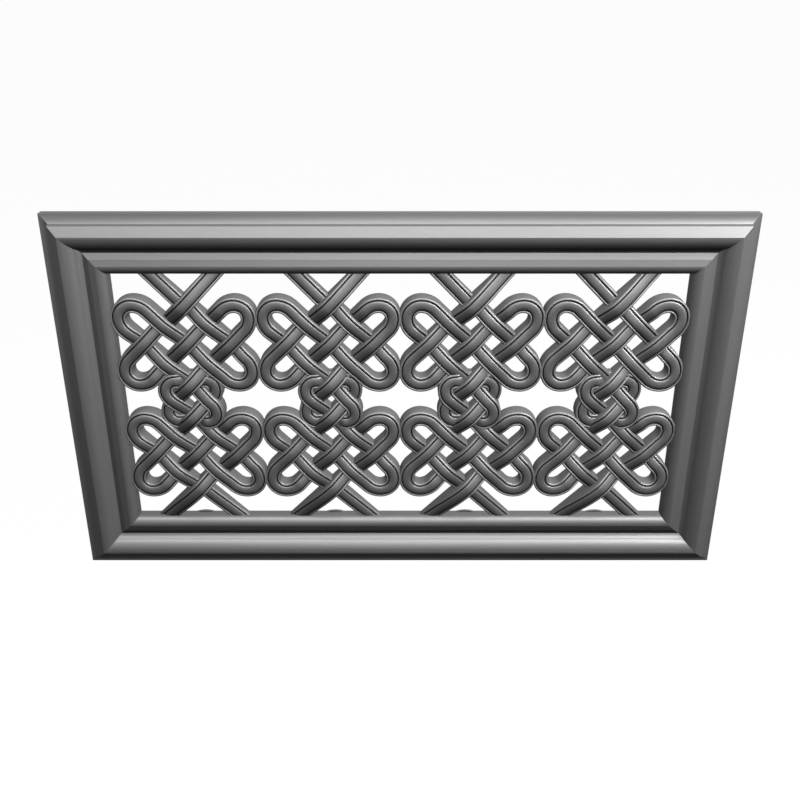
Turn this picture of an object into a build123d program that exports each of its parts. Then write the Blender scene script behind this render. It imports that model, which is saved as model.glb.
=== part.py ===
"""Carved interlace panel: four pierced knot columns in a mitred two-part moulding.

The panel stands upright. X runs along its width, Z up, and the carved front faces -Y.
The origin is the middle of the flat back. Heights of the relief are measured forward
from that back plane, and sizes are in millimetres.
"""
import os
from math import cos, radians

from build123d import *

os.makedirs("parts", exist_ok=True)

# Panel
panel_width = 1400.0
panel_height = 800.0
panel_depth = 50.0

# Outer moulding, from the outer edge in to the valley
outer_width = 76.5
edge_height = 19.5
step_inset = 18.6
step_foot_height = 26.3
step_run = 1.6
step_top_height = 38.0
ridge_inset = 39.2
valley_height = 24.5
cove_middle_shares = (0.55, 0.30)
ovolo_middle_shares = (0.46, 0.17)
ovolo_end_shares = (0.76, 0.68)
sweep_middle_shares = (0.86, 0.87)

# Slip moulding, from the valley in to the sight edge
slip_width = 43.5
arris_inset = 11.7
arris_height = 31.0
crest_inset = 25.0
crest_height = 35.2
wall_height = 20.0
bead_middle_shares = (0.73, 0.31)

# Tongue of the slip in the groove of the outer moulding
tongue_thickness = 6.0
tongue_length = 8.0
tongue_height = 4.0
groove_clearance = 1.0

# Loose tongue across each mitre
key_length = 50.0
key_width = 40.0
key_thickness = 8.0
key_height = 10.0
key_inset = 42.0
key_end_clearance = 1.0

# Carved columns
column_count = 4
row_pitch = 251.8
pattern_rise = 6.2
lattice_pitch = 88.9
arm_drop = 6.5
strand_width = 32.0
strand_round = 9.0
strand_back = 5.0
loop_tip_radius = 28.5
loop_overlap = 2.0
rail_overrun = 30.0

# Heights of the strands' crests
loop_level = 40.0
over_level = 43.0
under_level = 30.0
arm_end_level = 28.0
hump_level = 49.0
rail_level = 20.0

# Link knot between the rows
link_half_width = 50.8
link_shoulder_radius = 30.0
link_corner_radius = 21.0
link_high_level = 44.0
link_low_level = 34.0
link_back_level = 26.0

# Low lugs on the bottom slip, one under each column's foot
lug_width = 39.0
lug_rise = 3.5
lug_thickness = 6.0

# Dowels
dowel_diameter = 8.0
dowel_length = 30.0
dowel_chamfer = 1.0
dowel_height = 9.0
dowel_end_clearance = 1.0

# Threaded sleeves in the back
sleeve_length = 20.0
sleeve_diameter = 12.0
sleeve_bore = 8.0
sleeve_flange_diameter = 16.0
sleeve_flange_thickness = 2.0
sleeve_inset = 40.0
sleeve_spacing_z = 500.0

# Directions and places that follow
front = Vector(0, -1, 0)
across = Vector(1, 0, 0)
up = Vector(0, 0, 1)
frame_width = outer_width + slip_width
opening_width = panel_width - 2 * frame_width
opening_height = panel_height - 2 * frame_width
column_width = opening_width / column_count
column_places = [(i - (column_count - 1) / 2) * column_width for i in range(column_count)]
upper_rise = pattern_rise + row_pitch / 2
lower_rise = pattern_rise - row_pitch / 2
knot_plane = Plane(origin=(0, 0, 0), x_dir=across, z_dir=front)
upper_reach = opening_height / 2 - upper_rise
lower_reach = opening_height / 2 + lower_rise

# Lattice: a strand crosses the others one lane apart, and its loops are two lane gaps wide
diagonal = cos(radians(45))
half_pitch = lattice_pitch / 2
lane = lattice_pitch * diagonal
lane_gap = lane / 2
arm_pitch = lattice_pitch - arm_drop
arm_lane = arm_pitch * diagonal
loop_flank_radius = (lane_gap - loop_tip_radius * diagonal) / (1 - diagonal)
loop_contact_side = 2 * lane_gap - loop_flank_radius * (1 - diagonal)
loop_contact_middle = column_width / 2 + loop_overlap - strand_width / 2
loop_contact_out = loop_contact_middle / diagonal - loop_contact_side
loop_start = loop_contact_out - loop_flank_radius * diagonal
loop_contact_rise = (loop_contact_out - loop_contact_side) * diagonal

# Link: where its strands leave their straight lanes, and its flat middle
link_leave = link_half_width - link_shoulder_radius * (1 - diagonal)
link_run = link_half_width - link_corner_radius
link_reach = lattice_pitch + link_leave + link_shoulder_radius * diagonal + link_corner_radius
link_lane = (half_pitch + link_leave) / diagonal

falling = (diagonal, -diagonal)
rising = (-diagonal, -diagonal)


def between(start, end, shares):
    """Point at the given shares of the way from start to end."""
    return tuple(a + (b - a) * share for a, b, share in zip(start, end, shares))


def outer_outline():
    """Section of the outer moulding: inset across, height forward of the back."""
    edge = (0, edge_height)
    foot = (step_inset, step_foot_height)
    ridge = (ridge_inset, panel_depth)
    valley = (outer_width, valley_height)
    ovolo_end = between(ridge, valley, ovolo_end_shares)
    tongue_top = tongue_height + tongue_thickness
    groove_floor = outer_width - tongue_length - groove_clearance
    with BuildSketch() as outline:
        with BuildLine():
            Line((0, 0), edge)
            ThreePointArc(edge, between(edge, foot, cove_middle_shares), foot)
            Polyline(foot, (step_inset + step_run, step_top_height), ridge)
            ThreePointArc(ridge, between(ridge, valley, ovolo_middle_shares), ovolo_end)
            ThreePointArc(ovolo_end, between(ridge, valley, sweep_middle_shares), valley)
            Polyline(
                valley,
                (outer_width, tongue_top),
                (groove_floor, tongue_top),
                (groove_floor, tongue_height),
                (outer_width, tongue_height),
                (outer_width, 0),
                (0, 0),
            )
        make_face()
    return outline.sketch


def slip_outline():
    """Section of the slip moulding with its tongue."""
    crest = (outer_width + crest_inset, crest_height)
    wall_top = (frame_width, wall_height)
    tongue_top = tongue_height + tongue_thickness
    with BuildSketch() as outline:
        with BuildLine():
            Polyline(
                (outer_width, tongue_top),
                (outer_width, valley_height),
                (outer_width + arris_inset, arris_height),
                crest,
            )
            ThreePointArc(crest, between(crest, wall_top, bead_middle_shares), wall_top)
            Polyline(
                wall_top,
                (frame_width, 0),
                (outer_width, 0),
                (outer_width, tongue_height),
                (outer_width - tongue_length, tongue_height),
                (outer_width - tongue_length, tongue_top),
                (outer_width, tongue_top),
            )
        make_face()
    return outline.sketch


def mitred_bar(section, turn, length, breadth):
    """One side of the frame, cut to its mitres, for a turn about the middle of the panel."""
    run = (-across).rotate(Axis.Y, turn)
    inward = (-up).rotate(Axis.Y, turn)
    corner = -run * (length / 2) - inward * (breadth / 2)
    with BuildPart() as bar:
        with BuildSketch(Plane(origin=corner, x_dir=inward, z_dir=run)):
            add(section)
        extrude(amount=length)
        with BuildSketch(Plane(origin=corner, x_dir=run, z_dir=front)):
            with BuildLine():
                Polyline(
                    (0, 0),
                    (length, 0),
                    (length - frame_width, frame_width),
                    (frame_width, frame_width),
                    close=True,
                )
            make_face()
        extrude(amount=panel_depth, mode=Mode.INTERSECT)
    return bar.part


def key_blank(x_side, z_side, end_clearance):
    """Loose tongue lying across one mitre, longer by the clearance at each end."""
    middle = across * (x_side * (panel_width / 2 - key_inset))
    middle += up * (z_side * (panel_height / 2 - key_inset))
    joint = (across * x_side - up * z_side).normalized()
    with BuildPart() as key:
        with BuildSketch(Plane(origin=middle + front * key_height, x_dir=joint, z_dir=front)):
            Rectangle(key_length + 2 * end_clearance, key_width)
        extrude(amount=key_thickness)
    return key.part


def dowel_group(places, direction):
    """Chamfered dowels centred on the places."""
    with BuildPart() as group:
        for place in places:
            with BuildSketch(Plane(origin=place - direction * (dowel_length / 2), z_dir=direction)):
                Circle(dowel_diameter / 2)
            extrude(amount=dowel_length)
        chamfer(group.edges().filter_by(GeomType.CIRCLE), dowel_chamfer)
    return group.part


def dowel_holes(places, direction):
    """Holes for the dowels at the places, with the clearance at each end."""
    hole_length = dowel_length + 2 * dowel_end_clearance
    with BuildPart() as holes:
        for place in places:
            with BuildSketch(Plane(origin=place - direction * (hole_length / 2), z_dir=direction)):
                Circle(dowel_diameter / 2)
            extrude(amount=hole_length)
    return holes.part


def strand_run(foot, heading, crest, slopes):
    """Straight strand: upright sides and rounded shoulders under a smooth crest line.

    The crest is given as (distance along the heading from the foot, height) pairs.
    """
    along = across * heading[0] + up * heading[1]
    aside = along.cross(front)
    corner = across * foot[0] + up * foot[1] - aside * (strand_width / 2)
    first = crest[0]
    last = crest[-1]
    with BuildPart() as run:
        with BuildSketch(Plane(origin=corner, x_dir=along, z_dir=aside)):
            with BuildLine():
                Spline(*crest, tangents=((1, slopes[0]), (1, slopes[1])))
                Polyline(last, (last[0], strand_back), (first[0], strand_back), first)
            make_face()
        extrude(amount=strand_width)
        fillet(run.edges().filter_by(GeomType.BSPLINE), strand_round)
    return run.part


def bend(plane, start, heading, turns, level):
    """Strand that turns through (radius, angle) arcs at one height."""
    with BuildPart() as turned:
        with BuildSketch(plane.offset(strand_back)):
            with BuildLine():
                place = start
                direction = heading
                for radius, angle in turns:
                    arc = JernArc(place, direction, radius, angle)
                    place = arc @ 1
                    direction = arc % 1
            trace(line_width=strand_width)
        extrude(amount=level - strand_back)
        crown = turned.faces().sort_by(Axis.Y)[0]
        fillet(crown.edges().filter_by(GeomType.CIRCLE), strand_round)
    return turned.part


def corner_loop(x_side, z_side):
    """Loop at one corner of a knot, joining two neighbouring lanes."""
    outward = (across * x_side + up * z_side).normalized()
    sideways = outward.cross(front) * (x_side * z_side)
    turns = [(loop_flank_radius, 45), (loop_tip_radius, 90), (loop_flank_radius, 45)]
    plane = Plane(origin=sideways * lane_gap, x_dir=outward, z_dir=front)
    return bend(plane, (loop_start, -lane_gap), (1, 0), turns, loop_level)


def knot(reach):
    """Strands of a four-loop knot round the origin, with its two arms up to the rail.

    The arms cross a little nearer the knot than the lattice does, so each is a run of its
    own, and it meets its lane under the strand that covers it.
    """
    rail_lane = -arm_lane - (reach - arm_pitch) / diagonal
    past_rail = rail_lane - rail_overrun
    low_slope = (arm_end_level - rail_level) / (-arm_lane - rail_lane)
    high_slope = (hump_level - rail_level) / (-arm_lane - rail_lane)
    low_arm = [(past_rail, rail_level - low_slope * rail_overrun), (rail_lane, rail_level)]
    high_arm = [(past_rail, rail_level - high_slope * rail_overrun), (rail_lane, rail_level)]
    to_crossing = [(-arm_lane, arm_end_level)]
    over_crossing = [(-arm_lane, hump_level), (strand_width / 4, arm_end_level)]
    to_loop = [(-loop_start, loop_level)]
    from_loop = [(loop_start, loop_level)]
    to_high_link = [(link_lane, link_high_level)]
    to_low_link = [(link_lane, link_low_level)]
    over_middle = [(-lane, under_level), (0, over_level), (lane, under_level)]
    under_middle = [(-lane, over_level), (0, under_level), (lane, over_level)]
    from_under = [(0, under_level), (lane, over_level)]
    to_hump = [(-lane, over_level), (0, under_level), (lane, hump_level)]
    right_arm = (-arm_pitch / 2, arm_pitch / 2)
    left_arm = (arm_pitch / 2, arm_pitch / 2)
    upper_right = (half_pitch, half_pitch)
    lower_left = (-half_pitch, -half_pitch)
    upper_left = (-half_pitch, half_pitch)
    lower_right = (half_pitch, -half_pitch)
    strands = [
        strand_run(left_arm, falling, low_arm + to_crossing, (low_slope, 0)),
        strand_run(upper_right, falling, over_middle + from_loop, (0, 0)),
        strand_run((0, 0), falling, to_loop + under_middle + from_loop, (0, 0)),
        strand_run(lower_left, falling, to_loop + over_middle + to_high_link, (0, 0)),
        strand_run(right_arm, rising, high_arm + over_crossing, (high_slope, 0)),
        strand_run(upper_left, rising, from_under + from_loop, (0, 0)),
        strand_run((0, 0), rising, to_loop + over_middle + from_loop, (0, 0)),
        strand_run(lower_right, rising, to_loop + to_hump + to_low_link, (0, 0)),
    ]
    for x_side in (-1, 1):
        for z_side in (-1, 1):
            strands.append(corner_loop(x_side, z_side))
    return strands


def link_arch():
    """Strands of the arch that joins the two that leave a knot at its foot."""
    leave = -lattice_pitch - link_leave
    high_turns = [(link_shoulder_radius, -45), (link_corner_radius, -90)]
    low_turns = [(link_shoulder_radius, 45), (link_corner_radius, 90)]
    crest = [(-link_run, link_high_level), (0, link_back_level), (link_run, link_low_level)]
    return [
        bend(knot_plane, (link_leave, leave), falling, high_turns, link_high_level),
        bend(knot_plane, (-link_leave, leave), rising, low_turns, link_low_level),
        strand_run((0, -link_reach), (-1, 0), crest, (0, 0)),
    ]


def half_column(reach):
    """Knot round the origin with its arch, trimmed to the rail and to the column's width."""
    with BuildPart() as room:
        with BuildSketch(knot_plane):
            with Locations((0, reach)):
                Rectangle(column_width, opening_height, align=(Align.CENTER, Align.MAX))
        extrude(amount=panel_depth)
    trimmed = [strand & room.part for strand in knot(reach) + link_arch()]
    with BuildPart() as half:
        add(trimmed)
        add(dowel_holes(side_places(-column_width / 2), across), mode=Mode.SUBTRACT)
        add(dowel_holes(side_places(column_width / 2), across), mode=Mode.SUBTRACT)
        add(dowel_holes(arm_places(reach), up), mode=Mode.SUBTRACT)
    return half.part


def knot_column():
    """Carved board centred on the panel's middle: two halves, each looped into the other."""
    upper_half = Pos(0, 0, upper_rise) * half_column(upper_reach)
    lower_half = Pos(0, 0, lower_rise) * Rot(0, 180, 0) * half_column(lower_reach)
    with BuildPart() as column:
        add([upper_half, lower_half])
    return column.part


def side_places(x):
    """Middles of the dowels through the two loops' flats at one side of a knot."""
    depth = front * (dowel_height + dowel_diameter / 2)
    return [across * x + up * (side * loop_contact_rise) + depth for side in (-1, 1)]


def arm_places(reach):
    """Middles of the dowels at the ends of a knot's two arms."""
    depth = front * (dowel_height + dowel_diameter / 2)
    spread = reach - arm_pitch
    return [across * (side * spread) + up * reach + depth for side in (-1, 1)]


def upright_joint(x):
    """Middles of the dowels across one upright joint."""
    return [place + up * rise for rise in (upper_rise, lower_rise) for place in side_places(x)]


def head_joint(x):
    """Middles of the dowels between one column's arms and the top slip."""
    return [place + across * x + up * upper_rise for place in arm_places(upper_reach)]


def foot_joint(x):
    """Middles of the dowels between one column's arms and the bottom slip."""
    spread = lower_reach - arm_pitch
    depth = front * (dowel_height + dowel_diameter / 2)
    level = -up * (opening_height / 2)
    return [across * (x + side * spread) + level + depth for side in (-1, 1)]


def sleeve_blank():
    """Outside of the sleeves: a body and a flange sunk flush in the back."""
    with BuildPart() as blank:
        for place in sleeve_places:
            with BuildSketch(Plane(origin=place, z_dir=front)):
                Circle(sleeve_diameter / 2)
            extrude(amount=sleeve_length)
            with BuildSketch(Plane(origin=place, z_dir=front)):
                Circle(sleeve_flange_diameter / 2)
            extrude(amount=sleeve_flange_thickness)
    return blank.part


def foot_lugs():
    """Low arched lugs along the bottom slip's sight wall, at the back."""
    start = (-lug_width / 2, 0)
    end = (lug_width / 2, 0)
    with BuildPart() as lugs:
        for x in column_places:
            foot = across * x - up * (opening_height / 2)
            with BuildSketch(Plane(origin=foot, x_dir=across, z_dir=front)):
                with BuildLine():
                    ThreePointArc(start, (0, lug_rise), end)
                    Line(end, start)
                make_face()
            extrude(amount=lug_thickness)
    return lugs.part


def save(part, name):
    """Label one piece and write it out."""
    part.label = name
    export_step(part, f"parts/{name}.step")


# Places of the fixings
sleeve_x = panel_width / 2 - sleeve_inset
sleeve_z = sleeve_spacing_z / 2
sleeve_places = [across * (i * sleeve_x) + up * (j * sleeve_z) for i in (-1, 1) for j in (-1, 1)]
inner_joints = [x + column_width / 2 for x in column_places[:-1]]
column_joint_places = [place for x in inner_joints for place in upright_joint(x)]
left_joint_places = upright_joint(-opening_width / 2)
right_joint_places = upright_joint(opening_width / 2)
head_places = [place for x in column_places for place in head_joint(x)]
foot_places = [place for x in column_places for place in foot_joint(x)]

# Outer mouldings, slotted for the loose tongues
corners = {"top_left": (-1, 1), "top_right": (1, 1), "bottom_left": (-1, -1), "bottom_right": (1, -1)}
key_slots = [key_blank(*sides, key_end_clearance) for sides in corners.values()]
sleeve_holes = sleeve_blank()
outer_section = outer_outline()
slip_section = slip_outline()

with BuildPart() as top_rail:
    add(mitred_bar(outer_section, 0, panel_width, panel_height))
    add(key_slots, mode=Mode.SUBTRACT)
save(top_rail.part, "top_rail")

with BuildPart() as right_stile:
    add(mitred_bar(outer_section, 90, panel_height, panel_width))
    add(key_slots, mode=Mode.SUBTRACT)
    add(sleeve_holes, mode=Mode.SUBTRACT)
save(right_stile.part, "right_stile")

with BuildPart() as bottom_rail:
    add(mitred_bar(outer_section, 180, panel_width, panel_height))
    add(key_slots, mode=Mode.SUBTRACT)
save(bottom_rail.part, "bottom_rail")

with BuildPart() as left_stile:
    add(mitred_bar(outer_section, 270, panel_height, panel_width))
    add(key_slots, mode=Mode.SUBTRACT)
    add(sleeve_holes, mode=Mode.SUBTRACT)
save(left_stile.part, "left_stile")

# Slip mouldings, drilled for the columns' dowels
with BuildPart() as top_slip:
    add(mitred_bar(slip_section, 0, panel_width, panel_height))
    add(dowel_holes(head_places, up), mode=Mode.SUBTRACT)
save(top_slip.part, "top_slip")

with BuildPart() as right_slip:
    add(mitred_bar(slip_section, 90, panel_height, panel_width))
    add(dowel_holes(right_joint_places, across), mode=Mode.SUBTRACT)
save(right_slip.part, "right_slip")

with BuildPart() as bottom_slip:
    add(mitred_bar(slip_section, 180, panel_width, panel_height))
    add(foot_lugs())
    add(dowel_holes(foot_places, up), mode=Mode.SUBTRACT)
save(bottom_slip.part, "bottom_slip")

with BuildPart() as left_slip:
    add(mitred_bar(slip_section, 270, panel_height, panel_width))
    add(dowel_holes(left_joint_places, across), mode=Mode.SUBTRACT)
save(left_slip.part, "left_slip")

# Loose tongues in the mitres
for corner_name, corner_sides in corners.items():
    save(key_blank(*corner_sides, 0), f"mitre_key_{corner_name}")

# Carved columns, from the left
carved = knot_column()
for number, x in enumerate(column_places, 1):
    save(Pos(x, 0, 0) * carved, f"knot_column_{number}")

# Dowels
save(dowel_group(column_joint_places, across), "column_dowels")
save(dowel_group(left_joint_places + right_joint_places, across), "stile_dowels")
save(dowel_group(head_places + foot_places, up), "rail_dowels")

# Threaded sleeves
with BuildPart() as back_sleeves:
    add(sleeve_blank())
    for place in sleeve_places:
        with BuildSketch(Plane(origin=place, z_dir=front)):
            Circle(sleeve_bore / 2)
        extrude(amount=sleeve_length, mode=Mode.SUBTRACT)
save(back_sleeves.part, "back_sleeves")
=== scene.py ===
"""Carved interlace panel, dressed: carved strands, moulded frame, stage and camera."""
from math import atan, cos, degrees, pi, radians, sin, sqrt, tan

import bpy
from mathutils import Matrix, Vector


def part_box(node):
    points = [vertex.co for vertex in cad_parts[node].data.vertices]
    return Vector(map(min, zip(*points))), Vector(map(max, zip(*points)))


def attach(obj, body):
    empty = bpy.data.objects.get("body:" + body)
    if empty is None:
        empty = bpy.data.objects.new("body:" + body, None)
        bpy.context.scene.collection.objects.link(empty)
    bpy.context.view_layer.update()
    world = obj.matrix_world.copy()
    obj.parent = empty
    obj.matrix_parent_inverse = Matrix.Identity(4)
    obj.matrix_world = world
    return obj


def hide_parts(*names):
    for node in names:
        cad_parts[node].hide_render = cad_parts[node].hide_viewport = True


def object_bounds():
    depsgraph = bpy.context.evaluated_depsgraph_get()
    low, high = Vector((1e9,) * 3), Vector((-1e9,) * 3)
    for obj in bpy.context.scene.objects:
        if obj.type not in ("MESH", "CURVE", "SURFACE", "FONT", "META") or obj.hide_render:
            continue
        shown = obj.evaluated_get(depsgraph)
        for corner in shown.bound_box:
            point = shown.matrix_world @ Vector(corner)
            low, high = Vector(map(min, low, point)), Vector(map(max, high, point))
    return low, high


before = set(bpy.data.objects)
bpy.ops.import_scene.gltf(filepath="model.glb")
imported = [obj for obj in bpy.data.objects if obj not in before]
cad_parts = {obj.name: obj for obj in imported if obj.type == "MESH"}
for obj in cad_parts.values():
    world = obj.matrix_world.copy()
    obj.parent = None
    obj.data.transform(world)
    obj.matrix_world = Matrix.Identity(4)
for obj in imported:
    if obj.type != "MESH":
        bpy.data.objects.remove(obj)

bl_info = {
    "name": "Carved interlace panel",
    "version": (1, 0, 0),
    "blender": (4, 5, 0),
    "location": "View3D > Sidebar > Carved Panel",
    "description": "Carves the interlaced strands, finishes the frame and sets the stage",
    "category": "Object",
}

frame_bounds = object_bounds()
MM = 0.001

# Grain, in repeats a metre, its stretch along the wood, and its height in metres
FINISH_GRAIN_SCALE = 220
WOOD_GRAIN_SCALE = 400
BRASS_MARK_SCALE = 900
GRAIN_STRETCH = 0.08
GRAIN_HEIGHT = 0.0006
# Share of that height on the lacquered, the bare and the turned pieces
FINISH_GRAIN_STRENGTH = 0.06
WOOD_GRAIN_STRENGTH = 0.2
BRASS_MARK_STRENGTH = 0.1
# Make-up of the grain: fine noise and broad clouds, the span of their sum, and the shades that it
# becomes, which multiply a colour
GRAIN_DETAIL = 5
GRAIN_NOISE_ROUGHNESS = 0.6
CLOUD_SCALE = 6
CLOUD_DETAIL = 2
GRAIN_SUMS = (0.6, 1.4)
GRAIN_SHADES = (0.94, 1.06)
# Shades of the grain at which bare wood is wholly dark and wholly light
WOOD_STREAKS = (0.95, 1.05)

# Painted highlight on the beads and painted shade in the grooves: the tones that the finish colour is
# mixed to there
PAINTED_BEAD_HIGHLIGHT = 0.34
PAINTED_GROOVE_SHADE = 0.01
# Edges with a sharper angle than this, in degrees, stay crisp on the carved strands
CRISP_ANGLE = 38

# Colours and surfaces of the hidden joinery and the sleeves
HARDWOOD_DARK = (0.50, 0.36, 0.21)
HARDWOOD_LIGHT = (0.68, 0.52, 0.34)
BEECH_DARK = (0.58, 0.42, 0.26)
BEECH_LIGHT = (0.74, 0.58, 0.39)
BRASS = (0.78, 0.60, 0.28)
BARE_ROUGHNESS = 0.6
BRASS_METALLIC = 0.85
BRASS_ROUGHNESS = (0.24, 0.38)

# Stage: the white that the camera sees, the light that the world gives, and how much of the white
# glossy surfaces show
FLOOR_WHITE = 0.97
WORLD_LIGHT = 0.02
GLOSSY_SHARE = 0.05
# Floor: its width and its gap below the panel, in metres, and its own grey and roughness
FLOOR_SIZE = 120
FLOOR_GAP = 0.0005
FLOOR_GREY = 0.8
FLOOR_ROUGHNESS = 0.9
# Soft lamps round the panel: name, direction from its middle, power in watts, and whether it casts
# the shadows. They have one width and one distance, in metres
LAMP_WIDTH = 1.4
LAMP_DISTANCE = 2.9
LAMPS = (
    ("overhead_key", (0, -0.3, 1), 20, True),
    ("overhead", (0, -0.3, 1), 32, False),
    ("overhead_right", (0.5, -0.3, 1), 28, False),
    ("overhead_left", (-0.5, -0.3, 1), 24, False),
    ("upper_right", (1, -0.3, 0.8), 92, False),
    ("upper_front", (0, -1, 1), 12, False),
    ("front", (0, -1, 0.3), 6, False),
    ("left", (-1, -1, 0.3), 4, False),
    ("right", (1, -0.6, 0.2), 3, False),
)
# Far light for the flat back: where it shines to, its strength, and its spread in degrees
BACK_LIGHT_HEADING = (0, -1, 0.18)
BACK_LIGHT_STRENGTH = 7
BACK_LIGHT_SPREAD = 8
# The photograph's view: lens and sensor width in millimetres, place in metres, and tilt down in degrees
LENS = 43.46
SENSOR_WIDTH = 36
CAMERA_PLACE = (0, -1.8594, 0.8635)
CAMERA_TILT = 25.06


def deselect_all():
    """Leave edit mode and clear the selection."""
    if bpy.context.mode != "OBJECT":
        bpy.ops.object.mode_set(mode="OBJECT")
    bpy.ops.object.select_all(action="DESELECT")


def pick(obj):
    """Make one object the only selected and active one."""
    deselect_all()
    obj.select_set(True)
    bpy.context.view_layer.objects.active = obj


def mark(mesh, wanted, domain="vertices"):
    """Select exactly the wanted elements of a mesh, in object mode, by a test on each."""
    for layer in (mesh.vertices, mesh.edges, mesh.polygons):
        layer.foreach_set("select", [False] * len(layer))
    layer = getattr(mesh, domain)
    layer.foreach_set("select", [bool(wanted(item)) for item in layer])


def edit(obj, mode, wanted, domain="vertices"):
    """Enter edit mode in one select mode with the wanted elements selected."""
    bpy.ops.object.mode_set(mode="EDIT")
    bpy.ops.mesh.select_mode(type=mode)
    bpy.ops.object.mode_set(mode="OBJECT")
    mark(obj.data, wanted, domain)
    bpy.ops.object.mode_set(mode="EDIT")


class CarvedStrandSizes(bpy.types.PropertyGroup):
    """Sizes of the carved strands."""

    row_pitch: bpy.props.FloatProperty(
        name="Row pitch", description="Height from one row of knots to the next",
        default=0.2518, unit="LENGTH")
    rise: bpy.props.FloatProperty(
        name="Pattern rise", description="How far the links sit above the panel's middle",
        default=0.0062, unit="LENGTH")
    pitch: bpy.props.FloatProperty(
        name="Lattice pitch", description="Distance between crossings in a row",
        default=0.0889, unit="LENGTH")
    arm_drop: bpy.props.FloatProperty(
        name="Arm drop", description="How far the arms' crossing sits inside the lattice",
        default=0.0065, unit="LENGTH")
    back: bpy.props.FloatProperty(
        name="Back", description="How far the strands' backs sit in front of the panel's back",
        default=0.005, unit="LENGTH")
    station: bpy.props.FloatProperty(
        name="Station", description="Length of one facet along a strand",
        default=0.003, unit="LENGTH")


class CarvedFinish(bpy.types.PropertyGroup):
    """Colours and sheen of the finish."""

    colour: bpy.props.FloatVectorProperty(
        name="Finish colour", description="Colour of the satin finish",
        default=(0.25, 0.25, 0.25), size=3, min=0.0, max=1.0, subtype="COLOR")
    metallic: bpy.props.FloatProperty(
        name="Metallic", description="Metal powder in the finish",
        default=0.6, min=0.0, max=1.0, subtype="FACTOR")
    roughness: bpy.props.FloatProperty(
        name="Roughness", description="Roughness of the satin finish",
        default=0.45, min=0.0, max=1.0, subtype="FACTOR")


# Section of a strand: distance from its middle, drop below its crest, in millimetres
STRAND_SECTION = (
    (0.0, 0.0), (2.5, 0.12), (5.0, 0.5), (7.0, 1.1), (8.4, 1.9), (9.2, 3.0),
    (9.7, 5.0), (10.4, 5.0),
    (10.9, 3.2), (11.8, 2.2), (13.0, 1.9), (14.3, 2.2), (15.3, 3.1), (16.0, 4.8),
)
# Distances from a strand's middle that lie in its groove and on its bead, in millimetres, where the
# finish paints shade and a highlight
GROOVE = (9.0, 11.0)
BEAD = (11.5, 15.0)

# Crest heights above the panel's back, in millimetres: over and under a crossing, on the humps beside
# the link and in the arms, at an arm's foot, where the groove still clears the dowel, and on the loops
CREST_OVER = 43.0
CREST_UNDER = 30.0
CREST_HUMP = 49.0
CREST_FOOT = 21.5
CREST_LOOP = 40.0
# Crest heights along the link's arch: at its near and far shoulders, and at the start, the middle and
# the end of its foot
ARCH_NEAR = 44.0
ARCH_START = 42.0
ARCH_MIDDLE = 26.0
ARCH_END = 36.0
ARCH_FAR = 34.0
# Plan of a strand, in millimetres: radii of a loop's tip and of the arch's shoulders and corners, reach
# of a loop and of the arch from the lattice's middle, length past the slip that is trimmed away, and
# half the length over which an arm changes its line
TIP_RADIUS = 28.5
SHOULDER_RADIUS = 30.0
CORNER_RADIUS = 21.0
LOOP_REACH = 142.0
ARCH_REACH = 50.8
OVERRUN = 26.0
SHIFT = 12.0
# Making of a strand, in millimetres: the height that a full vertex weight stands for, the least handle
# of its guide curve, and how near two places count as one. The curve's steps are counted a segment
WEIGHT_HEIGHT = 50.0
LEAST_HANDLE = 1
SAME_PLACE = 1e-4
GUIDE_STEPS = 40


class StrandRoute:
    """Plan of a strand's middle line in straight stretches and arcs, with its crest heights.

    Each node holds its place, the lengths of its handles back and ahead, and its heading. Each level
    holds its distance along the route, its crest height and the slope there.
    """

    def __init__(self, place, heading):
        self.place = Vector(place)
        self.heading = Vector(heading).normalized()
        self.length = 0.0
        self.nodes = [[self.place.copy(), 0.0, 0.0, self.heading.copy()]]
        self.levels = []

    def level(self, height, slope=0.0):
        """Crest height here, with a flat crest unless a slope is given."""
        self.levels.append((self.length, height, slope))

    def straight(self, length, *levels):
        """Go on straight. The levels are (distance from here, height) pairs."""
        for along, height in levels:
            self.levels.append((self.length + along, height, 0.0))
        self.place = self.place + self.heading * length
        self.length += length
        self.nodes[-1][2] = length / 3
        self.nodes.append([self.place.copy(), length / 3, 0.0, self.heading.copy()])

    def arc(self, radius, angle):
        """Turn left by a positive angle in degrees, or right by a negative one."""
        turn = radians(angle)
        side = 1 if angle > 0 else -1
        normal = Vector((-self.heading.y, self.heading.x)) * side
        centre = self.place + normal * radius
        spoke = self.place - centre
        c, s = cos(turn), sin(turn)
        self.place = centre + Vector((spoke.x * c - spoke.y * s, spoke.x * s + spoke.y * c))
        head = self.heading
        self.heading = Vector((head.x * c - head.y * s, head.x * s + head.y * c))
        handle = 4 / 3 * tan(abs(turn) / 4) * radius
        self.nodes[-1][2] = handle
        self.nodes.append([self.place.copy(), handle, 0.0, self.heading.copy()])
        self.length += radius * abs(turn)

    def crest(self, along):
        """Crest height at a distance along the route."""
        keys = self.levels
        if along <= keys[0][0]:
            return keys[0][1]
        for (s0, h0, m0), (s1, h1, m1) in zip(keys, keys[1:]):
            if along <= s1:
                span = s1 - s0
                t = (along - s0) / span
                return ((2 * t**3 - 3 * t**2 + 1) * h0 + (t**3 - 2 * t**2 + t) * span * m0
                        + (3 * t**2 - 2 * t**3) * h1 + (t**3 - t**2) * span * m1)
        return keys[-1][1]


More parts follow.
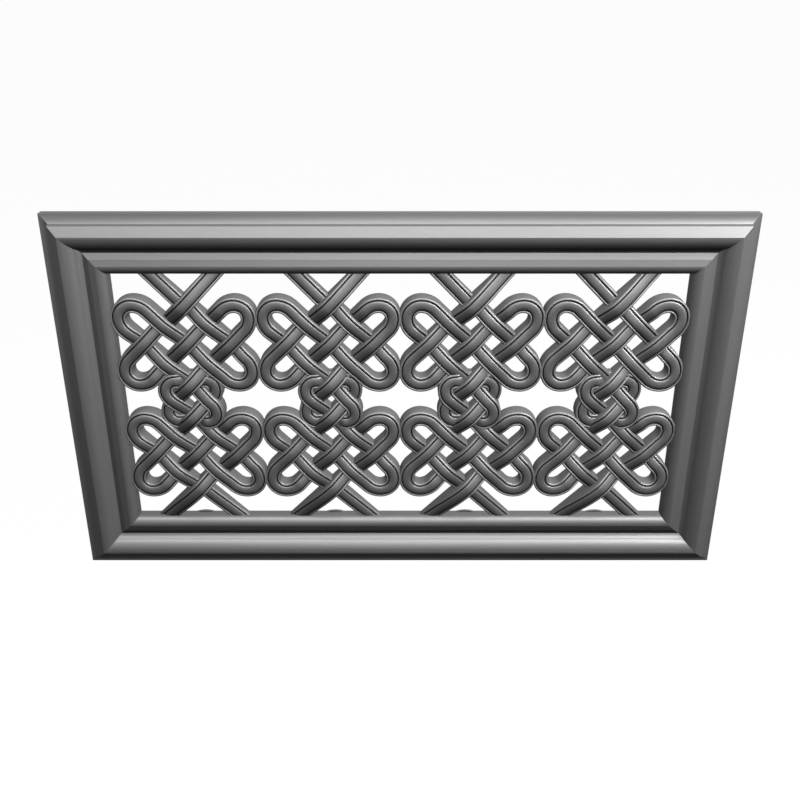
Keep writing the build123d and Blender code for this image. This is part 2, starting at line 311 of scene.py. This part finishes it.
def knot_route(reach, pitch, arm_drop):
    """One unit's strand from its left arm, through its four loops and the link, to its right arm."""
    diagonal = sqrt(0.5)
    lane = pitch * diagonal
    arm_pitch = pitch - arm_drop
    arm_lane = arm_pitch * diagonal
    climb = (reach - arm_pitch) / diagonal
    flank = (lane / 2 - TIP_RADIUS * diagonal) / (1 - diagonal)
    start = LOOP_REACH - TIP_RADIUS * (1 - diagonal) - flank * diagonal
    leave = ARCH_REACH - SHOULDER_RADIUS * (1 - diagonal)
    link = (pitch / 2 + leave) / diagonal
    low_slope = (CREST_UNDER - CREST_FOOT) / climb
    high_slope = (CREST_HUMP - CREST_FOOT) / climb
    outside = OVERRUN * diagonal
    shift_angle = 2 * atan(arm_drop * diagonal / 2 / SHIFT)
    shift_radius = SHIFT / sin(shift_angle)
    route = StrandRoute((arm_pitch - reach - outside, reach + outside), (1, -1))

    def loop(side):
        """Round one loop, to the left for 1 or to the right for -1."""
        route.arc(flank, side * 45)
        route.arc(TIP_RADIUS, side * 90)
        route.arc(flank, side * 45)
        route.level(CREST_LOOP)

    def change_line(side, height):
        """Ease sideways between an arm's line and the lattice's, past a crossing at one height."""
        route.arc(shift_radius, side * degrees(shift_angle))
        route.level(height)
        route.arc(shift_radius, -side * degrees(shift_angle))

    def through_middle(first, second):
        """Straight from one loop to the opposite one, past three crossings."""
        route.straight(2 * start, (start - lane, first), (start, second), (start + lane, first),
                       (2 * start, CREST_LOOP))

    # Left arm down to the right, round the lower right loop
    route.level(CREST_FOOT - OVERRUN * low_slope, low_slope)
    route.straight(OVERRUN)
    route.level(CREST_FOOT, low_slope)
    route.straight(climb - SHIFT)
    change_line(1, CREST_UNDER)
    rest = arm_lane - SHIFT
    route.straight(rest + start, (rest, CREST_OVER), (rest + lane, CREST_UNDER),
                   (rest + start, CREST_LOOP))
    loop(-1)
    # Up to the left through the middle, round the upper left loop
    through_middle(CREST_OVER, CREST_UNDER)
    loop(1)
    # Down to the right to the link, over its right crossing, and round its arch
    route.straight(start + link, (start - lane, CREST_UNDER), (start, CREST_OVER),
                   (start + lane, CREST_UNDER))
    route.level(ARCH_NEAR)
    route.arc(SHOULDER_RADIUS, -45)
    route.arc(CORNER_RADIUS, -90)
    route.level(ARCH_START)
    run = 2 * (ARCH_REACH - CORNER_RADIUS)
    route.straight(run, (run / 2, ARCH_MIDDLE))
    route.level(ARCH_END)
    route.arc(CORNER_RADIUS, -90)
    route.arc(SHOULDER_RADIUS, -45)
    route.level(ARCH_FAR)
    # Up to the right over the hump, round the upper right loop
    route.straight(start + link, (link - lane, CREST_HUMP), (link, CREST_UNDER),
                   (link + lane, CREST_OVER), (link + start, CREST_LOOP))
    loop(1)
    # Down to the left through the middle, round the lower left loop
    through_middle(CREST_UNDER, CREST_OVER)
    loop(-1)
    # Up to the right over the hump to the rail
    route.straight(start - SHIFT, (start - lane, CREST_OVER))
    change_line(-1, CREST_UNDER)
    route.straight(rest + climb, (rest, CREST_HUMP))
    route.level(CREST_FOOT, -high_slope)
    route.straight(OVERRUN)
    route.level(CREST_FOOT - OVERRUN * high_slope, -high_slope)
    return route


def carve_strand(name, route, station, back, half_room, reach):
    """Carve one unit's strand: section, crest heights, walls and back, bent along its route."""
    length = route.length
    rows = [(-y, d) for y, d in STRAND_SECTION[:0:-1]] + list(STRAND_SECTION)
    count = round(length / station)
    deselect_all()
    bpy.ops.mesh.primitive_grid_add(x_subdivisions=count, y_subdivisions=len(rows) - 1, size=1)
    strand = bpy.context.object
    strand.name = name
    bpy.ops.transform.resize(value=(length, len(rows) - 1, 1))
    bpy.ops.object.transform_apply(location=False, rotation=False, scale=True)
    first = min(v.co.x for v in strand.data.vertices)
    low = min(v.co.y for v in strand.data.vertices)
    # Rows of the section, each moved to its place across the strand and its drop
    members = [[] for _ in rows]
    for v in strand.data.vertices:
        members[round(v.co.y - low)].append(v.index)
    # Masks of the groove and bead rows, which carry the painted shade and the painted highlight
    strand.data.attributes.new("groove", "FLOAT", "POINT")
    strand.data.attributes.new("bead", "FLOAT", "POINT")
    for index, (across, drop) in enumerate(rows):
        row = set(members[index])
        edit(strand, "VERT", lambda v: v.index in row)
        bpy.ops.transform.translate(value=(-first, across - low - index, -drop))
        bpy.ops.object.mode_set(mode="OBJECT")
    for mask, (inner, outer) in (("groove", GROOVE), ("bead", BEAD)):
        values = strand.data.attributes[mask].data
        for index, (across, _) in enumerate(rows):
            if inner < abs(across) < outer:
                for i in members[index]:
                    values[i].value = 1.0
    # Crest heights along the strand
    weights = strand.vertex_groups.new(name="crest height")
    stations = {}
    for v in strand.data.vertices:
        stations.setdefault(round(v.co.x / (length / count)), []).append(v.index)
    for place, indices in stations.items():
        weights.add(indices, route.crest(place * length / count) / WEIGHT_HEIGHT, "REPLACE")
    raised = strand.modifiers.new("Crest", "DISPLACE")
    raised.direction = "Z"
    raised.strength = WEIGHT_HEIGHT
    raised.mid_level = 0.0
    raised.vertex_group = weights.name
    bpy.ops.object.modifier_apply(modifier=raised.name)
    strand.vertex_groups.clear()
    # Upright walls down to the back, and the back itself
    open_edges = boundary(strand.data)
    edit(strand, "EDGE", lambda e: e.index in open_edges, "edges")
    bpy.ops.mesh.extrude_edges_move()
    bpy.ops.transform.resize(value=(1, 1, 0), center_override=(0, 0, back))
    bpy.ops.object.mode_set(mode="OBJECT")
    mesh = strand.data
    open_edges = boundary(mesh)

    def along_foot(edge):
        """Whether an edge lies along the foot of a wall, and not across a strand's end."""
        a, b = (mesh.vertices[i].co for i in edge.vertices)
        return edge.index in open_edges and abs(a.y - b.y) < SAME_PLACE

    edit(strand, "EDGE", along_foot, "edges")
    bpy.ops.mesh.bridge_edge_loops()
    bpy.ops.object.mode_set(mode="OBJECT")
    open_edges = boundary(mesh)
    edit(strand, "EDGE", lambda e: e.index in open_edges, "edges")
    bpy.ops.mesh.edge_face_add()
    bpy.ops.mesh.select_all(action="SELECT")
    bpy.ops.mesh.normals_make_consistent(inside=False)
    bpy.ops.object.mode_set(mode="OBJECT")
    # Bend along the route
    guide = route_curve(name + "_route", route)
    pick(strand)
    bent = strand.modifiers.new("Route", "CURVE")
    bent.object = guide
    bent.deform_axis = "POS_X"
    bpy.ops.object.modifier_apply(modifier=bent.name)
    bpy.data.objects.remove(guide, do_unlink=True)
    # Trim at the slip and at the neighbouring columns
    for place, outwards in (((0, reach, 0), (0, 1, 0)), ((half_room, 0, 0), (1, 0, 0)),
                            ((-half_room, 0, 0), (-1, 0, 0))):
        edit(strand, "VERT", lambda v: True)
        bpy.ops.mesh.bisect(plane_co=place, plane_no=outwards, use_fill=True, clear_outer=True)
        bpy.ops.object.mode_set(mode="OBJECT")
    return strand


def boundary(mesh):
    """Indices of the edges that carry only one face."""
    faces_at = [0] * len(mesh.edges)
    for loop in mesh.loops:
        faces_at[loop.edge_index] += 1
    return {i for i, n in enumerate(faces_at) if n == 1}


def route_curve(name, route):
    """Flat curve along a route's middle line."""
    data = bpy.data.curves.new(name, "CURVE")
    data.dimensions = "2D"
    data.resolution_u = GUIDE_STEPS
    spline = data.splines.new("BEZIER")
    spline.bezier_points.add(len(route.nodes) - 1)
    for point, (place, back, ahead, heading) in zip(spline.bezier_points, route.nodes):
        point.handle_left_type = "FREE"
        point.handle_right_type = "FREE"
        point.co = (place.x, place.y, 0)
        point.handle_left = (*(place - heading * max(back, LEAST_HANDLE)), 0)
        point.handle_right = (*(place + heading * max(ahead, LEAST_HANDLE)), 0)
    guide = bpy.data.objects.new(name, data)
    bpy.context.collection.objects.link(guide)
    return guide


class CARVED_OT_columns(bpy.types.Operator):
    """Carve the knot columns in place of their plain solids"""

    bl_idname = "carved.columns"
    bl_label = "Carve knot columns"

    def execute(self, context):
        sizes = context.scene.carved_strands
        nodes = sorted(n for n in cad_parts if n.startswith("knot_column"))
        lowest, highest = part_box(nodes[0])
        half_room = (highest[0] - lowest[0]) / 2 / MM
        half_height = (highest[2] - lowest[2]) / 2 / MM
        rise, half_row = sizes.rise / MM, sizes.row_pitch / MM / 2
        halves = []
        for name, place, turned in (("upper", rise + half_row, False),
                                    ("lower", rise - half_row, True)):
            reach = half_height + place if turned else half_height - place
            route = knot_route(reach, sizes.pitch / MM, sizes.arm_drop / MM)
            half = carve_strand(name, route, sizes.station / MM, sizes.back / MM, half_room, reach)
            pick(half)
            half.rotation_euler = (pi / 2, 0, 0)
            half.scale = (MM, MM, MM)
            bpy.ops.object.transform_apply()
            if turned:
                half.rotation_euler = (0, pi, 0)
            half.location = (0, 0, place * MM)
            bpy.ops.object.transform_apply()
            halves.append(half)
        pick(halves[0])
        halves[1].select_set(True)
        bpy.ops.object.join()
        model = bpy.context.object
        pick(model)
        bpy.ops.object.shade_smooth_by_angle(angle=radians(CRISP_ANGLE))
        model.data.materials.append(finish_material("carved_satin", True))
        columns = [model]
        for _ in nodes[1:]:
            column = model.copy()
            column.data = model.data.copy()
            context.collection.objects.link(column)
            columns.append(column)
        for column, node in zip(columns, nodes):
            column.name = "carved_" + node
            lowest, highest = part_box(node)
            pick(column)
            column.location.x = (lowest[0] + highest[0]) / 2
            bpy.ops.object.transform_apply()
            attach(column, "root")
            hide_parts(node)
        return {"FINISHED"}


def new_material(name):
    """New material with its nodes, its links and its shader."""
    material = bpy.data.materials.new(name)
    material.use_nodes = True
    nodes, links = material.node_tree.nodes, material.node_tree.links
    return material, nodes, links, nodes["Principled BSDF"]


def span_node(nodes, from_span, to_span):
    """Node that maps one span of values to another."""
    node = nodes.new("ShaderNodeMapRange")
    for side, span in (("From", from_span), ("To", to_span)):
        for end, value in zip(("Min", "Max"), span):
            node.inputs[f"{side} {end}"].default_value = value
    return node


def grain_group():
    """Group of fine grain: a shade to multiply a colour by, and a height."""
    group = bpy.data.node_groups.get("fine grain")
    if group:
        return group
    group = bpy.data.node_groups.new("fine grain", "ShaderNodeTree")
    group.interface.new_socket("Vector", in_out="INPUT", socket_type="NodeSocketVector")
    group.interface.new_socket("Scale", in_out="INPUT", socket_type="NodeSocketFloat")
    group.interface.new_socket("Shade", in_out="OUTPUT", socket_type="NodeSocketFloat")
    group.interface.new_socket("Height", in_out="OUTPUT", socket_type="NodeSocketFloat")
    nodes, links = group.nodes, group.links
    source, drain = nodes.new("NodeGroupInput"), nodes.new("NodeGroupOutput")
    noise = nodes.new("ShaderNodeTexNoise")
    noise.inputs["Detail"].default_value = GRAIN_DETAIL
    noise.inputs["Roughness"].default_value = GRAIN_NOISE_ROUGHNESS
    cloud = nodes.new("ShaderNodeTexNoise")
    cloud.inputs["Scale"].default_value = CLOUD_SCALE
    cloud.inputs["Detail"].default_value = CLOUD_DETAIL
    total = nodes.new("ShaderNodeMath")
    total.operation = "ADD"
    shade = span_node(nodes, GRAIN_SUMS, GRAIN_SHADES)
    links.new(source.outputs["Vector"], noise.inputs["Vector"])
    links.new(source.outputs["Vector"], cloud.inputs["Vector"])
    links.new(source.outputs["Scale"], noise.inputs["Scale"])
    links.new(noise.outputs["Fac"], total.inputs[0])
    links.new(cloud.outputs["Fac"], total.inputs[1])
    links.new(total.outputs[0], shade.inputs["Value"])
    links.new(shade.outputs["Result"], drain.inputs["Shade"])
    links.new(noise.outputs["Fac"], drain.inputs["Height"])
    return group


def grain_nodes(nodes, links, scale, level):
    """Grain group on Object coordinates, drawn out along X if it lies level and along Z if not."""
    coords = nodes.new("ShaderNodeTexCoord")
    stretch = nodes.new("ShaderNodeMapping")
    stretch.inputs["Scale"].default_value = (GRAIN_STRETCH, 1, 1) if level else (1, 1, GRAIN_STRETCH)
    grain = nodes.new("ShaderNodeGroup")
    grain.node_tree = grain_group()
    grain.inputs["Scale"].default_value = scale
    links.new(coords.outputs["Object"], stretch.inputs["Vector"])
    links.new(stretch.outputs["Vector"], grain.inputs["Vector"])
    return grain


def tint_by_grain(nodes, links, grain, colour):
    """Output of a colour that is multiplied by the grain's shade."""
    tint = nodes.new("ShaderNodeMix")
    tint.data_type = "RGBA"
    tint.blend_type = "MULTIPLY"
    tint.inputs["Factor"].default_value = 1.0
    tint.inputs["A"].default_value = (*colour, 1)
    links.new(grain.outputs["Shade"], tint.inputs["B"])
    return tint.outputs["Result"]


def raise_grain(nodes, links, grain, shader, strength):
    """Stand the grain up a little on a shader."""
    bump = nodes.new("ShaderNodeBump")
    bump.inputs["Strength"].default_value = strength
    bump.inputs["Distance"].default_value = GRAIN_HEIGHT
    links.new(grain.outputs["Height"], bump.inputs["Height"])
    links.new(bump.outputs["Normal"], shader.inputs["Normal"])


def dress(node, material):
    """Give a carried-over node one material."""
    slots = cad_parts[node].data.materials
    slots.clear()
    slots.append(material)


def finish_material(name, level):
    """Satin finish over fine grain that lies level or stands upright, with a painted highlight on the
    strands' beads and painted shade in their grooves.
    """
    material = bpy.data.materials.get(name)
    if material:
        return material
    finish = bpy.context.scene.carved_finish
    material, nodes, links, shader = new_material(name)
    grain = grain_nodes(nodes, links, FINISH_GRAIN_SCALE, level)
    colour = tint_by_grain(nodes, links, grain, finish.colour)
    # Painted shade in the grooves and a painted highlight on the beads: the colour is mixed there to
    # near black and to a light grey
    for mask, tone in (("bead", PAINTED_BEAD_HIGHLIGHT), ("groove", PAINTED_GROOVE_SHADE)):
        marked = nodes.new("ShaderNodeAttribute")
        marked.attribute_name = mask
        shade = nodes.new("ShaderNodeMix")
        shade.data_type = "RGBA"
        shade.inputs["B"].default_value = (tone, tone, tone, 1)
        links.new(marked.outputs["Fac"], shade.inputs["Factor"])
        links.new(colour, shade.inputs["A"])
        colour = shade.outputs["Result"]
    links.new(colour, shader.inputs["Base Color"])
    raise_grain(nodes, links, grain, shader, FINISH_GRAIN_STRENGTH)
    shader.inputs["Roughness"].default_value = finish.roughness
    shader.inputs["Metallic"].default_value = finish.metallic
    return material


class CARVED_OT_mouldings(bpy.types.Operator):
    """Give the frame's mouldings their satin finish"""

    bl_idname = "carved.mouldings"
    bl_label = "Finish mouldings"

    def execute(self, context):
        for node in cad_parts:
            if node.endswith(("_rail", "_stile", "_slip")):
                upright = node.startswith(("left", "right"))
                dress(node, finish_material("upright_satin" if upright else "level_satin", not upright))
        return {"FINISHED"}


def bare_wood(name, dark, light, level):
    """Bare planed wood between two tones, with grain that lies level or stands upright."""
    material, nodes, links, shader = new_material(name)
    grain = grain_nodes(nodes, links, WOOD_GRAIN_SCALE, level)
    streak = span_node(nodes, WOOD_STREAKS, (0, 1))
    tone = nodes.new("ShaderNodeMix")
    tone.data_type = "RGBA"
    tone.inputs["A"].default_value = (*dark, 1)
    tone.inputs["B"].default_value = (*light, 1)
    links.new(grain.outputs["Shade"], streak.inputs["Value"])
    links.new(streak.outputs["Result"], tone.inputs["Factor"])
    links.new(tone.outputs["Result"], shader.inputs["Base Color"])
    raise_grain(nodes, links, grain, shader, WOOD_GRAIN_STRENGTH)
    shader.inputs["Roughness"].default_value = BARE_ROUGHNESS
    return material


def turned_brass(name):
    """Turned brass with fine tool marks and a little tarnish."""
    material, nodes, links, shader = new_material(name)
    grain = grain_nodes(nodes, links, BRASS_MARK_SCALE, True)
    worn = span_node(nodes, GRAIN_SHADES, BRASS_ROUGHNESS)
    links.new(tint_by_grain(nodes, links, grain, BRASS), shader.inputs["Base Color"])
    links.new(grain.outputs["Shade"], worn.inputs["Value"])
    links.new(worn.outputs["Result"], shader.inputs["Roughness"])
    raise_grain(nodes, links, grain, shader, BRASS_MARK_STRENGTH)
    shader.inputs["Metallic"].default_value = BRASS_METALLIC
    return material


class CARVED_OT_tongues(bpy.types.Operator):
    """Show the loose tongues in bare hardwood"""

    bl_idname = "carved.tongues"
    bl_label = "Finish tongues"

    def execute(self, context):
        material = bare_wood("bare_hardwood", HARDWOOD_DARK, HARDWOOD_LIGHT, True)
        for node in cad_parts:
            if node.startswith("mitre_key"):
                dress(node, material)
        return {"FINISHED"}


class CARVED_OT_dowels(bpy.types.Operator):
    """Show the dowels in bare beech, with the grain along them"""

    bl_idname = "carved.dowels"
    bl_label = "Finish dowels"

    def execute(self, context):
        level = bare_wood("bare_beech_level", BEECH_DARK, BEECH_LIGHT, True)
        upright = bare_wood("bare_beech_upright", BEECH_DARK, BEECH_LIGHT, False)
        dress("column_dowels", level)
        dress("stile_dowels", level)
        dress("rail_dowels", upright)
        return {"FINISHED"}


class CARVED_OT_sleeves(bpy.types.Operator):
    """Show the threaded sleeves in turned brass"""

    bl_idname = "carved.sleeves"
    bl_label = "Finish sleeves"

    def execute(self, context):
        dress("back_sleeves", turned_brass("turned_brass"))
        return {"FINISHED"}


def seen_directly(nodes, links):
    """Mask of what the camera and glass show in full, and what glossy surfaces show dimly."""
    path = nodes.new("ShaderNodeLightPath")
    glossy = nodes.new("ShaderNodeMath")
    glossy.operation = "MULTIPLY"
    glossy.inputs[1].default_value = GLOSSY_SHARE
    links.new(path.outputs["Is Glossy Ray"], glossy.inputs[0])
    mask = path.outputs["Is Camera Ray"]
    for ray in (glossy.outputs[0], path.outputs["Is Transmission Ray"]):
        either = nodes.new("ShaderNodeMath")
        either.operation = "MAXIMUM"
        links.new(mask, either.inputs[0])
        links.new(ray, either.inputs[1])
        mask = either.outputs[0]
    return mask


def pale_floor():
    """Plain pale floor that the camera sees as white, and that still takes the panel's shadow."""
    material, nodes, links, shader = new_material("pale_floor")
    shader.inputs["Base Color"].default_value = (FLOOR_GREY, FLOOR_GREY, FLOOR_GREY, 1)
    shader.inputs["Roughness"].default_value = FLOOR_ROUGHNESS
    glow = nodes.new("ShaderNodeEmission")
    share = nodes.new("ShaderNodeMath")
    share.operation = "MULTIPLY"
    share.inputs[1].default_value = FLOOR_WHITE
    blend = nodes.new("ShaderNodeMixShader")
    links.new(seen_directly(nodes, links), share.inputs[0])
    links.new(share.outputs[0], blend.inputs["Fac"])
    links.new(shader.outputs["BSDF"], blend.inputs[1])
    links.new(glow.outputs["Emission"], blend.inputs[2])
    links.new(blend.outputs["Shader"], nodes["Material Output"].inputs["Surface"])
    return material


def studio_world():
    """World that the camera sees as white, and that gives hardly any light."""
    world = bpy.data.worlds.new("studio")
    world.use_nodes = True
    nodes, links = world.node_tree.nodes, world.node_tree.links
    background = nodes["Background"]
    background.inputs["Color"].default_value = (1, 1, 1, 1)
    level = span_node(nodes, (0, 1), (WORLD_LIGHT, FLOOR_WHITE))
    links.new(seen_directly(nodes, links), level.inputs["Value"])
    links.new(level.outputs["Result"], background.inputs["Strength"])
    return world


def add_lamp(name, kind, power, casts):
    """New lamp of one kind at the middle of the scene."""
    light = bpy.data.lights.new(name, kind)
    light.energy = power
    light.use_shadow = casts
    lamp = bpy.data.objects.new(name, light)
    bpy.context.collection.objects.link(lamp)
    return lamp


class CARVED_OT_stage(bpy.types.Operator):
    """Set the floor, the lamps and the camera"""

    bl_idname = "carved.stage"
    bl_label = "Set the stage"

    def execute(self, context):
        deselect_all()
        scene = context.scene
        bpy.ops.mesh.primitive_plane_add(
            size=FLOOR_SIZE, location=(0, 0, frame_bounds[0][2] - FLOOR_GAP))
        floor = context.object
        floor.name = "floor"
        floor.data.materials.append(pale_floor())
        scene.world = studio_world()

        for name, toward, power, casts in LAMPS:
            lamp = add_lamp(name, "AREA", power, casts)
            lamp.data.shape = "DISK"
            lamp.data.size = LAMP_WIDTH
            lamp.location = Vector(toward).normalized() * LAMP_DISTANCE
            lamp.rotation_euler = (-lamp.location).to_track_quat("-Z", "Y").to_euler()
        # The back's light comes level and gives no sheen, so no face seen in front takes it
        lamp = add_lamp("back", "SUN", BACK_LIGHT_STRENGTH, False)
        lamp.data.angle = radians(BACK_LIGHT_SPREAD)
        lamp.visible_glossy = False
        lamp.rotation_euler = Vector(BACK_LIGHT_HEADING).to_track_quat("-Z", "Y").to_euler()

        camera_data = bpy.data.cameras.new("camera")
        camera_data.lens = LENS
        camera_data.sensor_width = SENSOR_WIDTH
        camera = bpy.data.objects.new("camera", camera_data)
        camera.location = CAMERA_PLACE
        camera.rotation_euler = (radians(90 - CAMERA_TILT), 0, 0)
        context.collection.objects.link(camera)
        scene.camera = camera
        scene.view_settings.view_transform = "Standard"
        # The photograph shows no light that has bounced
        scene.cycles.diffuse_bounces = 0
        scene.cycles.glossy_bounces = 0
        return {"FINISHED"}


class CARVED_PT_panel(bpy.types.Panel):
    """Panel with the sizes, the finish and the steps"""

    bl_idname = "CARVED_PT_panel"
    bl_label = "Carved Panel"
    bl_space_type = "VIEW_3D"
    bl_region_type = "UI"
    bl_category = "Carved Panel"

    def draw(self, context):
        layout = self.layout
        for group in (context.scene.carved_strands, context.scene.carved_finish):
            box = layout.box()
            for name in group.__annotations__:
                box.prop(group, name)
        for step in STEPS:
            layout.operator(step.bl_idname)


STEPS = (CARVED_OT_columns, CARVED_OT_mouldings, CARVED_OT_tongues, CARVED_OT_dowels,
         CARVED_OT_sleeves, CARVED_OT_stage)
CLASSES = (CarvedStrandSizes, CarvedFinish, *STEPS, CARVED_PT_panel)


def register():
    """Register the classes and their settings."""
    for cls in CLASSES:
        bpy.utils.register_class(cls)
    bpy.types.Scene.carved_strands = bpy.props.PointerProperty(type=CarvedStrandSizes)
    bpy.types.Scene.carved_finish = bpy.props.PointerProperty(type=CarvedFinish)


def unregister():
    """Remove the settings and the classes."""
    del bpy.types.Scene.carved_finish
    del bpy.types.Scene.carved_strands
    for cls in reversed(CLASSES):
        bpy.utils.unregister_class(cls)


def main():
    """Register the classes and run each step to dress the panel."""
    register()
    for step in STEPS:
        module, operator = step.bl_idname.split(".")
        getattr(getattr(bpy.ops, module), operator)()


if __name__ == "__main__":
    main()
